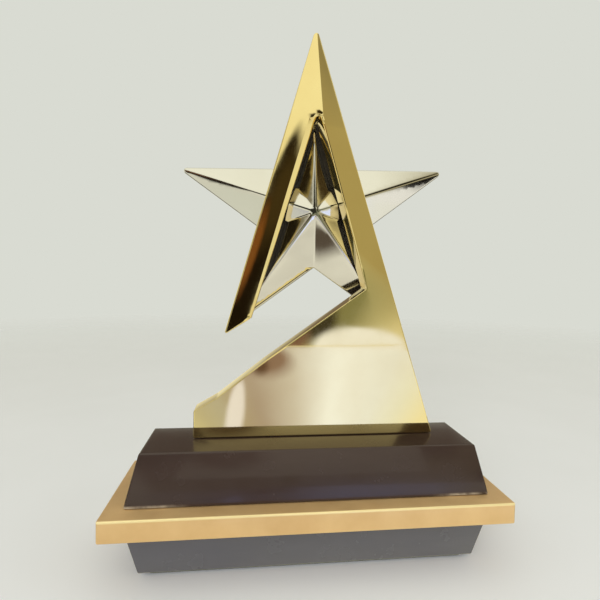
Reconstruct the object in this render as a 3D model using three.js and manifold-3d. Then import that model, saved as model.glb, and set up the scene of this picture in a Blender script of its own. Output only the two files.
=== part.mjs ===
// Star trophy: a polished gold "A" with a nickel star behind its window, on a three-board base.
// Millimetres, +Z up, front towards -Y. The origin is the middle of the base's underside.
import * as THREE from 'three';
import { mergeVertices } from 'three/addons/utils/BufferGeometryUtils.js';
import Module from 'manifold-3d';

const wasm = await Module();
wasm.setup();

// ---------------------------------------------------------------- driving dimensions

const GAP = 0.3; // clearance where two pieces meet

// base boards
const BAND = { width: 200, depth: 64, height: 10.3, corner: 1.6, edge: 1.2 };
const PLINTH_INSET = 8.9; // from the band's edge to both plinths, where they meet the band
const UPPER = { height: 24, taper: 5.8, edge: 1.6 };
const LOWER = { height: 24.8, taper: 5.8, edge: 1.2 };
const FELT = { thickness: 1.2, inset: 2.5, corner: 4 };

// gold figure, seen from the front: x from the base's middle, z from the plinth's top
const FIGURE = {
  apex: [-0.35, 219], // where the two long edges meet, before the tip is rounded
  footLeft: -61.9,
  footRight: 69.2,
  panelLeftHeight: 14.3,
  windowApex: [1.2, 174.3],
  windowCorner: [29.7, 80.1],
  legInner: [-32.2, 63.8],
  legTip: [-46.8, 54.4],
  slantSag: [[-24, 41.4], [-50, 21.1]], // the panel's slanting edge hangs a little near its lower end
  depth: 12,
  wall: 2.2,
};
const RIDGE = { bottom: [3.5, 172], end: 165 }; // from the apex down to the window's right edge
const FACET = { leftTilt: 13, rightTilt: 16, leftSetback: 2, flatBelow: 62 }; // tilts in degrees
const FAN = { z: 234, left: 9, right: 7, step: 0.045, rows: 24, bottom: -4 }; // the front's grid lines

const BACK_PLATE = { thickness: 1.2 };
const BOSS_RADIUS = 3.6;
const STUD_BLOCK = { width: 13, height: 17 };

// star
const STAR = {
  x: 1.7,
  z: 122.8, // from the plinth's top
  yaw: 3, // degrees, its right side nearer the front
  turn: 1.05, // degrees, anticlockwise as seen from the front
  outer: 81.6, // to a tip before it is rounded
  ratio: 0.385,
  tipRadius: 1.7,
  rise: 8.5, // from the outline's plane to the centre point
  rim: 2,
  outlineY: 20.2,
  wall: 1.8,
  backPlate: 1.4,
};

// fasteners
const COVER_SCREW = { head: 2.6, headHeight: 1.1, shank: 1.4, length: 7.5 };
const STAR_SCREW = {
  head: 3.4, headHeight: 2.2, shank: 1.5, length: 18.4, slot: 0.8,
  bore: 2.5, // in the figure, wide enough for the star's yaw
  boreFront: 2.8,
};
const STUD = { radius: 3, intoFigure: 13 };
const WASHER = { outer: 7, thickness: 1.4 };
const NUT = { acrossFlats: 10, height: 5 };
const COUNTERBORE = { radius: 8.5, depth: 13 };
const WOOD_SCREW = { head: 4.2, headHeight: 2.6, shank: 2, length: 46, x: 72, y: 8.5 };

const STUD_X = { left: -36, right: 42 };
const COVER_SCREWS = {
  top: [0.9, 193],
  leg_left: [-31.6, 85],
  leg_right: [31.4, 97],
  panel_left: [-51, 9.5],
  panel_middle: [14, 42],
  panel_right: [56.5, 12],
};
const STAR_SCREWS = { top: [2.4, 183], left: [-18.9, 129.3], right: [21.9, 128.7] };

// ---------------------------------------------------------------- heights worked out from them

const LOWER_Z = FELT.thickness + GAP;
const BAND_Z = LOWER_Z + LOWER.height + GAP;
const UPPER_Z = BAND_Z + BAND.height + GAP;
const FIGURE_Z = UPPER_Z + UPPER.height + GAP;

const PLINTH_SIZE = { x: BAND.width - 2 * PLINTH_INSET, y: BAND.depth - 2 * PLINTH_INSET };
const STAR_BACK_Y = STAR.outlineY + STAR.rim;
const STAR_PLATE_Y = STAR_BACK_Y + GAP;
const FIGURE_BACK = FIGURE.depth;
const STUD_Y = FIGURE_BACK / 2;

// ---------------------------------------------------------------- materials

const metal = (color, roughness) => new THREE.MeshStandardMaterial({ color, roughness, metalness: 1 });
const matte = (color, roughness) => new THREE.MeshStandardMaterial({ color, roughness, metalness: 0 });
const gold = () => metal(0xdcc172, 0.12);
const nickel = () => metal(0xd3cdbf, 0.14);
const darkPaint = () => matte(0x2c2118, 0.4);
const steel = () => metal(0xa9abad, 0.35);
const lacquer = () => matte(0x3a2a24, 0.12);
const greyLacquer = () => matte(0x5c5c62, 0.15);
const goldPaint = () => metal(0xc9a46c, 0.45);
const felt = () => matte(0x20241f, 0.95);

// ---------------------------------------------------------------- solids

function toSolid(geometry) {
  const bare = geometry.index ? geometry.toNonIndexed() : geometry.clone();
  for (const name of Object.keys(bare.attributes)) {
    if (name !== 'position') bare.deleteAttribute(name);
  }
  const merged = mergeVertices(bare, 1e-4);
  return new wasm.Manifold(new wasm.Mesh({
    numProp: 3,
    vertProperties: new Float32Array(merged.attributes.position.array),
    triVerts: new Uint32Array(merged.index.array),
  }));
}

function toGeometry(solid) {
  const mesh = solid.getMesh();
  const geometry = new THREE.BufferGeometry();
  geometry.setAttribute('position', new THREE.BufferAttribute(mesh.vertProperties, 3));
  geometry.setIndex(new THREE.BufferAttribute(mesh.triVerts, 1));
  geometry.computeVertexNormals();
  return geometry;
}

const join = (first, ...others) => others.reduce((sum, other) => sum.add(other), first);
const cut = (first, ...others) => others.reduce((rest, other) => rest.subtract(other), first);

// A closed outline whose corners are [x, y, radius]; a corner without a radius stays sharp.
function roundedShape(corners) {
  const shape = new THREE.Shape();
  corners.forEach(([x, y, radius = 0], i) => {
    const corner = new THREE.Vector2(x, y);
    if (radius === 0) {
      if (i === 0) shape.moveTo(x, y);
      else shape.lineTo(x, y);
      return;
    }
    const before = corners[(i + corners.length - 1) % corners.length];
    const after = corners[(i + 1) % corners.length];
    const toBefore = new THREE.Vector2(before[0], before[1]).sub(corner).normalize();
    const toAfter = new THREE.Vector2(after[0], after[1]).sub(corner).normalize();
    const half = Math.acos(toBefore.dot(toAfter)) / 2;
    const start = toBefore.clone().multiplyScalar(radius / Math.tan(half)).add(corner);
    const end = toAfter.clone().multiplyScalar(radius / Math.tan(half)).add(corner);
    const middle = toBefore.clone().add(toAfter).normalize();
    middle.multiplyScalar(radius / Math.sin(half)).add(corner);
    const startAngle = Math.atan2(start.y - middle.y, start.x - middle.x);
    const endAngle = Math.atan2(end.y - middle.y, end.x - middle.x);
    const clockwise = toBefore.cross(toAfter) > 0;
    if (i === 0) shape.moveTo(start.x, start.y);
    shape.absarc(middle.x, middle.y, radius, startAngle, endAngle, clockwise);
  });
  shape.closePath();
  return shape;
}

// A plate that stands upright: its outline lies in XZ and its thickness runs along Y.
function uprightPlate(corners, front, back) {
  const options = { depth: back - front, bevelEnabled: false, curveSegments: 4 };
  const geometry = new THREE.ExtrudeGeometry(roundedShape(corners), options);
  geometry.rotateX(Math.PI / 2);
  geometry.translate(0, back, 0);
  return toSolid(geometry);
}

// The outline moved inwards by a distance, corner by corner. The corners run counter-clockwise.
function inset(corners, distance) {
  const count = corners.length;
  const edges = corners.map(([x, y], i) => {
    const [nextX, nextY] = corners[(i + 1) % count];
    const length = Math.hypot(nextX - x, nextY - y);
    const normal = [-(nextY - y) / length, (nextX - x) / length];
    return { normal, offset: normal[0] * x + normal[1] * y + distance };
  });
  return corners.map((_, i) => {
    const a = edges[(i + count - 1) % count];
    const b = edges[i];
    const det = a.normal[0] * b.normal[1] - a.normal[1] * b.normal[0];
    return [
      (a.offset * b.normal[1] - b.offset * a.normal[1]) / det,
      (a.normal[0] * b.offset - b.normal[0] * a.offset) / det,
    ];
  });
}

// A cylinder along Y at (x, z).
function rodAlongY(radius, [x, z], front, back, sides = 16) {
  const geometry = new THREE.CylinderGeometry(radius, radius, back - front, sides);
  geometry.translate(x, (front + back) / 2, z);
  return toSolid(geometry);
}

// A cylinder along Z at (x, y).
function rodAlongZ(radius, x, y, bottom, top, sides = 20) {
  const geometry = new THREE.CylinderGeometry(radius, radius, top - bottom, sides);
  geometry.rotateX(Math.PI / 2);
  geometry.translate(x, y, (bottom + top) / 2);
  return toSolid(geometry);
}

function block(width, depth, height, x, y, z) {
  const geometry = new THREE.BoxGeometry(width, depth, height);
  geometry.translate(x, y, z);
  return toSolid(geometry);
}

function named(name, geometry, material) {
  const mesh = new THREE.Mesh(geometry, material);
  mesh.name = name;
  return mesh;
}

// ---------------------------------------------------------------- gold figure

const figureOutline = [
  [FIGURE.footLeft, 0],
  [FIGURE.footRight, 0],
  FIGURE.apex,
  FIGURE.legTip,
  FIGURE.legInner,
  FIGURE.windowApex,
  FIGURE.windowCorner,
  ...FIGURE.slantSag,
  [FIGURE.footLeft, FIGURE.panelLeftHeight],
];
const CORNER_RADII = [0.6, 0.6, 1.6, 0.5, 0.8, 1.4, 0.8, 8, 8, 0.8];

const { lerp, smoothstep, degToRad } = THREE.MathUtils;

// Where each long line of the front stands at height z.
const { apex, legTip, footLeft, windowApex, windowCorner } = FIGURE;
const [apexX, apexZ] = apex;
const leftEdgeX = (z) => lerp(apexX, legTip[0], (apexZ - z) / (apexZ - legTip[1]));
const ridgeX = (z) => lerp(apexX, RIDGE.bottom[0], (apexZ - z) / (apexZ - RIDGE.bottom[1]));
const windowRightX = (z) => lerp(
  windowApex[0], windowCorner[0], (windowApex[1] - z) / (windowApex[1] - windowCorner[1]),
);

// About where the panel's slanting top edge is at x.
const slantZ = (x) => lerp(
  FIGURE.panelLeftHeight, windowCorner[1], (x - footLeft) / (windowCorner[0] - footLeft),
);

// Depth of the plane that slopes back to the left edge.
function leftFacet(x, z) {
  const lean = Math.cos(Math.atan2(apexX - legTip[0], apexZ - legTip[1]));
  return FACET.leftSetback - Math.tan(degToRad(FACET.leftTilt)) * (x - leftEdgeX(z)) * lean;
}

// How far the front face lies behind (+) or before (-) the plane of the lower panel.
// A ridge runs down from the apex to the window. The left leg is the left facet's plane to its
// end, and the right leg turns gradually into the flat panel.
function frontRelief(x, z) {
  const clearOfPanel = 12;
  if (x < ridgeX(z) && z > slantZ(x) + clearOfPanel) return leftFacet(x, z);
  const inner = z > windowCorner[1] ? Math.max(ridgeX(z), windowRightX(z)) : windowRightX(z);
  const along = Math.max(z, RIDGE.end);
  const crest = leftFacet(ridgeX(along), along);
  const fade = smoothstep(z, FACET.flatBelow, RIDGE.end);
  return fade * (crest + Math.tan(degToRad(FACET.rightTilt)) * Math.max(x - inner, 0));
}

// A block whose front follows the relief. Its upright grid lines fan out from above the apex,
// so that one of them is the ridge itself.
function reliefBlank() {
  const { left, right, step, rows, bottom } = FAN;
  const columns = left + right;
  const ridgeSlope = (RIDGE.bottom[0] - apexX) / (apexZ - RIDGE.bottom[1]);
  const fanX = apexX - ridgeSlope * (FAN.z - apexZ);
  const geometry = new THREE.BoxGeometry(columns, 2, rows, columns, 1, rows);
  const position = geometry.attributes.position;
  for (let i = 0; i < position.count; i += 1) {
    const column = Math.round(position.getX(i) + columns / 2) - left;
    const row = Math.round(position.getZ(i) + rows / 2);
    const z = bottom + ((apexZ + 1 - bottom) * row) / rows;
    const x = fanX + (ridgeSlope + column * step) * (FAN.z - z);
    const y = position.getY(i) < 0 ? frontRelief(x, z) : FIGURE_BACK;
    position.setXYZ(i, x, y, z);
  }
  return toSolid(geometry);
}

function figureShell() {
  const rounded = figureOutline.map(([x, z], i) => [x, z, CORNER_RADII[i]]);
  const body = reliefBlank().intersect(uprightPlate(rounded, -10, FIGURE_BACK));
  const cavity = uprightPlate(inset(figureOutline, FIGURE.wall), FIGURE.wall + 1, FIGURE_BACK + 1);
  const bossBack = FIGURE_BACK - BACK_PLATE.thickness - GAP;
  const bosses = [...Object.values(COVER_SCREWS), ...Object.values(STAR_SCREWS)]
    .map((spot) => rodAlongY(BOSS_RADIUS, spot, FIGURE.wall, bossBack));
  const blockDepth = bossBack - FIGURE.wall;
  const blocks = Object.values(STUD_X).map((x) => block(
    STUD_BLOCK.width, blockDepth, STUD_BLOCK.height,
    x, FIGURE.wall + blockDepth / 2, STUD_BLOCK.height / 2,
  ));
  const filled = join(cut(body, cavity), ...bosses, ...blocks)
    .intersect(uprightPlate(rounded, -10, FIGURE_BACK));
  const coverHoles = Object.values(COVER_SCREWS).map((spot) => rodAlongY(
    COVER_SCREW.shank + GAP, spot, FIGURE_BACK - COVER_SCREW.length - 0.5, FIGURE_BACK,
  ));
  const starHoles = Object.values(STAR_SCREWS)
    .map((spot) => rodAlongY(STAR_SCREW.bore, spot, STAR_SCREW.boreFront, FIGURE_BACK));
  const studHoles = Object.values(STUD_X).map((x) => rodAlongZ(
    STUD.radius + GAP, x, STUD_Y, -1, STUD.intoFigure + 0.5,
  ));
  return cut(filled, ...coverHoles, ...starHoles, ...studHoles);
}

function figureBackPlate() {
  const outline = inset(figureOutline, FIGURE.wall + GAP);
  const plate = uprightPlate(outline, FIGURE_BACK - BACK_PLATE.thickness, FIGURE_BACK);
  const reach = [FIGURE_BACK - 3, FIGURE_BACK + 1];
  const holes = [
    ...Object.values(COVER_SCREWS).map((spot) => rodAlongY(COVER_SCREW.head + GAP, spot, ...reach)),
    ...Object.values(STAR_SCREWS).map((spot) => rodAlongY(STAR_SCREW.bore, spot, ...reach)),
  ];
  return cut(plate, ...holes);
}

// A screw that points towards the front, its head's back face at y = 0.
function screwGeometry({ head, headHeight, shank, length }, countersunk) {
  const neck = countersunk ? [[head, 0.2], [shank, headHeight]] : [[head, headHeight], [shank, headHeight]];
  const profile = [[0, 0], [head, 0], ...neck, [shank, length - 1], [0.5, length], [0, length]];
  const geometry = new THREE.LatheGeometry(profile.map(([r, y]) => new THREE.Vector2(r, -y)).reverse(), 16);
  return toSolid(geometry);
}

function coverScrew(name, [x, z]) {
  const mesh = named(`cover_screw_${name}`, toGeometry(screwGeometry(COVER_SCREW, true)), steel());
  mesh.position.set(x, FIGURE_BACK, z);
  return mesh;
}

// ---------------------------------------------------------------- star

// The star is drawn round its own middle, then the group that holds it and its screws is placed
// and turned. A screw's place on the star follows from its place on the figure.
const yaw = degToRad(STAR.yaw);
const onStar = ([x, z]) => [(x - STAR.x) / Math.cos(yaw), z - STAR.z];

// Depth, on the star, of a pad's front, which stops just behind the figure's back.
const padFront = (x) => (FIGURE_BACK + GAP + 0.25 + x * Math.sin(yaw)) / Math.cos(yaw);

// The corners of a star with five tips, counter-clockwise from its upper tip.
const starOutline = (outer) => Array.from({ length: 10 }, (_, i) => {
  const radius = i % 2 === 0 ? outer : outer * STAR.ratio;
  const angle = Math.PI / 2 + (i * Math.PI) / 5 + degToRad(STAR.turn);
  return [radius * Math.cos(angle), radius * Math.sin(angle)];
});

// A flat star with rounded tips.
function starPlate(outer, front, back) {
  const corners = starOutline(outer)
    .map(([x, z], i) => (i % 2 === 0 ? [x, z, STAR.tipRadius] : [x, z]));
  return uprightPlate(corners, front, back);
}

// A five-pointed star with ten front facets that rise to one centre point.
function starSolid(outer, outlineY, peakY, backY) {
  const rim = starOutline(outer);
  const points = [
    ...rim.map(([x, z]) => [x, outlineY, z]),
    ...rim.map(([x, z]) => [x, backY, z]),
    [0, peakY, 0],
    [0, backY, 0],
  ];
  const peak = 20;
  const centre = 21;
  const triangles = [];
  for (let i = 0; i < 10; i += 1) {
    const next = (i + 1) % 10;
    triangles.push(peak, i, next);
    triangles.push(i, i + 10, next, next, i + 10, next + 10);
    triangles.push(centre, next + 10, i + 10);
  }
  const geometry = new THREE.BufferGeometry();
  geometry.setAttribute('position', new THREE.Float32BufferAttribute(points.flat(), 3));
  geometry.setIndex(triangles);
  return toSolid(geometry);
}

// How much smaller a star is whose edges lie a distance further in.
function starInsetScale(distance) {
  const inner = STAR.outer * STAR.ratio;
  const angle = Math.PI / 5;
  const edge = Math.hypot(STAR.outer - inner * Math.cos(angle), inner * Math.sin(angle));
  const edgeDistance = (STAR.outer * inner * Math.sin(angle)) / edge;
  return 1 - distance / edgeDistance;
}

function starShell() {
  const front = STAR.outlineY - STAR.rise;
  const body = starSolid(STAR.outer, STAR.outlineY, front, STAR_BACK_Y)
    .intersect(starPlate(STAR.outer, front - 1, STAR_BACK_Y));
  const scale = starInsetScale(STAR.wall);
  const cavityPeak = front + STAR.wall;
  const cavity = starSolid(STAR.outer * scale, STAR.outlineY + 0.5, cavityPeak, STAR_BACK_Y + 1);
  const padRadius = 4;
  const spots = Object.values(STAR_SCREWS).map(onStar);
  const pads = spots.map((spot) => rodAlongY(padRadius, spot, padFront(spot[0]), STAR_BACK_Y));
  const holes = spots
    .map((spot) => rodAlongY(STAR_SCREW.shank + GAP, spot, FIGURE_BACK - 3, STAR_BACK_Y + 1));
  return cut(join(cut(body, cavity), ...pads), ...holes);
}

function starBackPlate() {
  const back = STAR_PLATE_Y + STAR.backPlate;
  const outer = STAR.outer * starInsetScale(0.5);
  const middle = (STAR_PLATE_Y + back) / 2;
  const holes = Object.values(STAR_SCREWS).map(onStar)
    .map((spot) => rodAlongY(STAR_SCREW.shank + GAP, spot, middle - 3, middle + 3));
  return cut(starPlate(outer, STAR_PLATE_Y, back), ...holes);
}

function starScrew(name, spot) {
  const [x, z] = onStar(spot);
  const { head, headHeight, slot } = STAR_SCREW;
  const screw = screwGeometry({ ...STAR_SCREW, length: STAR_SCREW.length + headHeight }, false);
  const drive = block(2 * head + 1, 1, slot, 0, 0, 0);
  const mesh = named(`star_screw_${name}`, toGeometry(cut(screw, drive)), steel());
  mesh.position.set(x, STAR_PLATE_Y + STAR.backPlate + GAP + headHeight, z);
  return mesh;
}

// ---------------------------------------------------------------- base

// A block with four sloping sides and softened edges, as a stack of rounded rectangles.
// Each level is [z, inset from the largest outline].
function slopedBlock(width, depth, corner, levels) {
  const ring = (z, inward) => {
    const shape = roundedShape([
      [-width / 2 + inward, -depth / 2 + inward, corner],
      [width / 2 - inward, -depth / 2 + inward, corner],
      [width / 2 - inward, depth / 2 - inward, corner],
      [-width / 2 + inward, depth / 2 - inward, corner],
    ]);
    return shape.getPoints(3).slice(0, -1).map(({ x, y }) => [x, y, z]);
  };
  const rings = levels.map(([z, inward]) => ring(z, inward));
  const count = rings[0].length;
  const top = rings.length * count;
  const triangles = [];
  rings.slice(1).forEach((_, level) => {
    for (let i = 0; i < count; i += 1) {
      const a = level * count + i;
      const b = level * count + ((i + 1) % count);
      triangles.push(a, b, a + count, b, b + count, a + count);
    }
  });
  for (let i = 0; i < count; i += 1) {
    const next = (i + 1) % count;
    triangles.push(top, next, i);
    triangles.push(top + 1, top - count + i, top - count + next);
  }
  const [lowest] = levels[0];
  const [highest] = levels[levels.length - 1];
  const points = [...rings.flat(), [0, 0, lowest], [0, 0, highest]];
  const geometry = new THREE.BufferGeometry();
  geometry.setAttribute('position', new THREE.Float32BufferAttribute(points.flat(), 3));
  geometry.setIndex(triangles);
  return toSolid(geometry);
}

const studHoles = (bottom, top) => Object.values(STUD_X)
  .map((x) => rodAlongZ(STUD.radius + GAP, x, STUD_Y, bottom, top));

const screwSpots = [[-1, -1], [1, -1], [1, 1], [-1, 1]]
  .map(([sideX, sideY]) => [sideX * WOOD_SCREW.x, sideY * WOOD_SCREW.y]);

const screwHoles = (bottom, top) => screwSpots
  .map(([x, y]) => rodAlongZ(WOOD_SCREW.shank + GAP, x, y, bottom, top));

function upperPlinth() {
  const { height, taper, edge } = UPPER;
  const slope = taper / height;
  const body = slopedBlock(PLINTH_SIZE.x, PLINTH_SIZE.y, 1.5, [
    [UPPER_Z, 0.4],
    [UPPER_Z + 0.4, 0.1],
    [UPPER_Z + height - edge, slope * (height - edge)],
    [UPPER_Z + height - 0.3 * edge, slope * height + 0.3 * edge],
    [UPPER_Z + height, slope * height + edge],
  ]);
  const screwTop = LOWER_Z + GAP + WOOD_SCREW.length + 0.5;
  return cut(body, ...studHoles(UPPER_Z - 1, FIGURE_Z + 1), ...screwHoles(UPPER_Z - 1, screwTop));
}

function goldBand() {
  const { width, depth, height, corner, edge } = BAND;
  const body = slopedBlock(width, depth, corner, [
    [BAND_Z, edge],
    [BAND_Z + 0.3 * edge, 0.3 * edge],
    [BAND_Z + edge, 0],
    [BAND_Z + height - edge, 0],
    [BAND_Z + height - 0.3 * edge, 0.3 * edge],
    [BAND_Z + height, edge],
  ]);
  const reach = [BAND_Z - 1, BAND_Z + height + 1];
  return cut(body, ...studHoles(...reach), ...screwHoles(...reach));
}

function lowerPlinth() {
  const { height, taper, edge } = LOWER;
  const slope = taper / height;
  const body = slopedBlock(PLINTH_SIZE.x, PLINTH_SIZE.y, 1.5, [
    [LOWER_Z, taper + edge],
    [LOWER_Z + 0.3 * edge, taper + 0.3 * edge],
    [LOWER_Z + edge, taper - slope * edge],
    [LOWER_Z + height - 0.4, 0.1],
    [LOWER_Z + height, 0.4],
  ]);
  const reach = [LOWER_Z - 1, BAND_Z + 1];
  const bores = Object.values(STUD_X)
    .map((x) => rodAlongZ(COUNTERBORE.radius, x, STUD_Y, LOWER_Z - 1, LOWER_Z + COUNTERBORE.depth, 28));
  const sinks = screwSpots.map(([x, y]) => rodAlongZ(
    WOOD_SCREW.head + GAP, x, y, LOWER_Z - 1, LOWER_Z + WOOD_SCREW.headHeight + 2 * GAP,
  ));
  return cut(body, ...studHoles(...reach), ...screwHoles(...reach), ...bores, ...sinks);
}

function feltPad() {
  const inward = LOWER.taper + FELT.inset;
  return slopedBlock(PLINTH_SIZE.x, PLINTH_SIZE.y, FELT.corner, [[0, inward], [FELT.thickness, inward]]);
}

// ---------------------------------------------------------------- fasteners in the base

function footFastener(side, x) {
  const seat = LOWER_Z + COUNTERBORE.depth;
  const washerZ = seat - GAP - WASHER.thickness;
  const nutZ = washerZ - GAP - NUT.height;
  const stud = rodAlongZ(STUD.radius, x, STUD_Y, nutZ - 1.5, FIGURE_Z + STUD.intoFigure, 16);
  const bore = rodAlongZ(STUD.radius + GAP, x, STUD_Y, 0, FIGURE_Z, 16);
  const washer = rodAlongZ(WASHER.outer, x, STUD_Y, washerZ, washerZ + WASHER.thickness, 24);
  const nutRadius = NUT.acrossFlats / 2 / Math.cos(Math.PI / 6);
  const nut = rodAlongZ(nutRadius, x, STUD_Y, nutZ, nutZ + NUT.height, 6);
  return [
    named(`foot_stud_${side}`, toGeometry(stud), steel()),
    named(`foot_washer_${side}`, toGeometry(cut(washer, bore)), steel()),
    named(`foot_nut_${side}`, toGeometry(cut(nut, bore)), steel()),
  ];
}

function woodScrew(index, [x, y]) {
  const solid = screwGeometry(WOOD_SCREW, true);
  const mesh = named(`plinth_screw_${index}`, toGeometry(solid), steel());
  mesh.rotation.x = -Math.PI / 2;
  mesh.position.set(x, y, LOWER_Z + GAP);
  return mesh;
}

// ---------------------------------------------------------------- assembly

const base = new THREE.Group();
base.add(
  named('felt_pad', toGeometry(feltPad()), felt()),
  named('lower_plinth', toGeometry(lowerPlinth()), greyLacquer()),
  named('gold_band', toGeometry(goldBand()), goldPaint()),
  named('upper_plinth', toGeometry(upperPlinth()), lacquer()),
  ...Object.entries(STUD_X).flatMap(([side, x]) => footFastener(side, x)),
  ...screwSpots.map((spot, i) => woodScrew(i + 1, spot)),
);

const figure = new THREE.Group();
figure.position.z = FIGURE_Z;
figure.add(
  named('figure_shell', toGeometry(figureShell()), gold()),
  named('figure_back_plate', toGeometry(figureBackPlate()), darkPaint()),
  ...Object.entries(COVER_SCREWS).map(([name, spot]) => coverScrew(name, spot)),
);

const star = new THREE.Group();
star.position.set(STAR.x, 0, STAR.z);
star.rotation.z = -yaw;
star.add(
  named('star_shell', toGeometry(starShell()), nickel()),
  named('star_back_plate', toGeometry(starBackPlate()), nickel()),
  ...Object.entries(STAR_SCREWS).map(([name, spot]) => starScrew(name, spot)),
);
figure.add(star);

const trophy = new THREE.Group();
trophy.add(base, figure);

export default trophy;
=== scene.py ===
"""Star trophy: a polished gold pointed frame, a nickel star behind its window and a lacquered base."""
import math

import bpy
import bmesh
from mathutils import Matrix, Vector
from mathutils.geometry import delaunay_2d_cdt


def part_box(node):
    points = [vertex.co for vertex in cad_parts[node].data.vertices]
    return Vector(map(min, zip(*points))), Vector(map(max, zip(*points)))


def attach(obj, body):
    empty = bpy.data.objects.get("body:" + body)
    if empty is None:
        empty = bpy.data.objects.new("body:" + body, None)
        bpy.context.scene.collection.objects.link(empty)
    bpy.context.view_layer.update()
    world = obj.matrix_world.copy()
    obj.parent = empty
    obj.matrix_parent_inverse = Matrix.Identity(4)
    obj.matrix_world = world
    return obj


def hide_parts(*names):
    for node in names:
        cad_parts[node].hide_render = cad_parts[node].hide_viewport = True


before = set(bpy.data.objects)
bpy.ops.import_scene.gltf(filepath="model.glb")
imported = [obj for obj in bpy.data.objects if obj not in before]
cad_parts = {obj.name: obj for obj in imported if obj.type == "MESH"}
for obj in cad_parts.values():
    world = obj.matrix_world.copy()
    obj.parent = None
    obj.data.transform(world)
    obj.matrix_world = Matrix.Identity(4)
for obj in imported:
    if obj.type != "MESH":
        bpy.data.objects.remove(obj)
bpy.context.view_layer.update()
MM = 0.001

# ------------------------------------------------------------------ sizes, in millimetres

# The figure is drawn in (x, z): x from the middle of the base, z from the top of the upper block.
FIGURE_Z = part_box("figure_shell")[0].z / MM
FIGURE_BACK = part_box("figure_shell")[1].y / MM
WALL = 2.2
PLATE_RECESS = 1.5

APEX = (-0.35, 219.0)
LEG_TIP = (-46.8, 54.4)
LEG_INNER = (-32.2, 63.8)
WINDOW_APEX = (1.2, 174.3)
WINDOW_CORNER = (29.7, 80.1)
FOOT_LEFT, FOOT_RIGHT = -61.9, 69.2
PANEL_LEFT_HEIGHT = 14.3
SLANT_SAG = ((-24.0, 41.4), (-50.0, 21.1))

# each corner of the figure with its radius, counter-clockwise
FIGURE_CORNERS = [
    ((FOOT_LEFT, 0.0), 0.9),
    ((FOOT_RIGHT, 0.0), 0.9),
    (APEX, 1.6),
    (LEG_TIP, 0.8),
    (LEG_INNER, 0.9),
    (WINDOW_APEX, 1.4),
    (WINDOW_CORNER, 1.0),
    (SLANT_SAG[0], 8.0),
    (SLANT_SAG[1], 8.0),
    ((FOOT_LEFT, PANEL_LEFT_HEIGHT), 1.0),
]
EDGE_ROUND = 0.42
BACK_ROUND = 0.4
FRONT_BAND = (0.35, 0.9)         # insets of the rings between the rounded edge and the filled face
ARC_STEPS = 6
SPAN_STEP = 2.0
FILL_PITCH = 1.8
FILL_CLEARANCE = 0.62 * FILL_PITCH
FLAT_SLIVER = 0.0005             # a triangle's doubled area over its longest side squared

RIDGE_BOTTOM = (3.5, 172.0)
RIDGE_END_Z = 165.0
LEFT_TILT = math.radians(13)
RIGHT_TILT = math.radians(16)
LEFT_SETBACK = 2.0
FLAT_BELOW_Z = 62.0
CROWN, LEFT_CROWN = 0.10, 0.07
BEVEL_TOP, BEVEL_BOTTOM, BEVEL_RIGHT = 3.2, 1.7, 0.7
BEVEL_TILT = math.radians(38)
BEVEL_FADE = (1, 7)              # below the window's point, where the bevel grows to its full width
WINDOW_LEFT_LEAN = math.cos(math.atan2(WINDOW_APEX[0] - LEG_INNER[0], WINDOW_APEX[1] - LEG_INNER[1]))
WINDOW_RIGHT_LEAN = math.cos(
    math.atan2(WINDOW_CORNER[0] - WINDOW_APEX[0], WINDOW_APEX[1] - WINDOW_CORNER[1]))

STAR_X, STAR_Z = 1.7, 122.8
STAR_YAW, STAR_TURN = math.radians(3), math.radians(1.05)
STAR_OUTLINE_Y = 20.2
STAR_OUTER, STAR_RATIO = 81.6, 0.385
STAR_RISE, STAR_RIM = 8.5, 2.0
STAR_TIP_RADIUS, STAR_NOTCH_RADIUS = 1.7, 0.3
STAR_EDGE_ROUND, STAR_FRONT_BAND = 0.5, 0.3
RIDGE_HALF, VALLEY_HALF = 1.15, 0.8
NOTCH_BEVEL, NOTCH_BEVEL_SLOPE = 1.6, 0.84

# The two blocks taper by this much on every side.
TAPER = 5.8


# ------------------------------------------------------------------ plain geometry

def lerp(a, b, t):
    return a + (b - a) * t


def smoothstep(low, high, value):
    t = min(max((value - low) / (high - low), 0.0), 1.0)
    return t * t * (3 - 2 * t)


def inset_corners(corners, distance):
    """The corners of a counter-clockwise outline whose edges have all moved inwards."""
    count = len(corners)
    edges = []
    for i, (x, y) in enumerate(corners):
        nx, ny = corners[(i + 1) % count]
        length = math.hypot(nx - x, ny - y)
        normal = (-(ny - y) / length, (nx - x) / length)
        edges.append((normal, normal[0] * x + normal[1] * y + distance))
    moved = []
    for i in range(count):
        (a, p), (b, q) = edges[i - 1], edges[i]
        det = a[0] * b[1] - a[1] * b[0]
        moved.append(((p * b[1] - q * a[1]) / det, (a[0] * q - b[0] * p) / det))
    return moved


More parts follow.
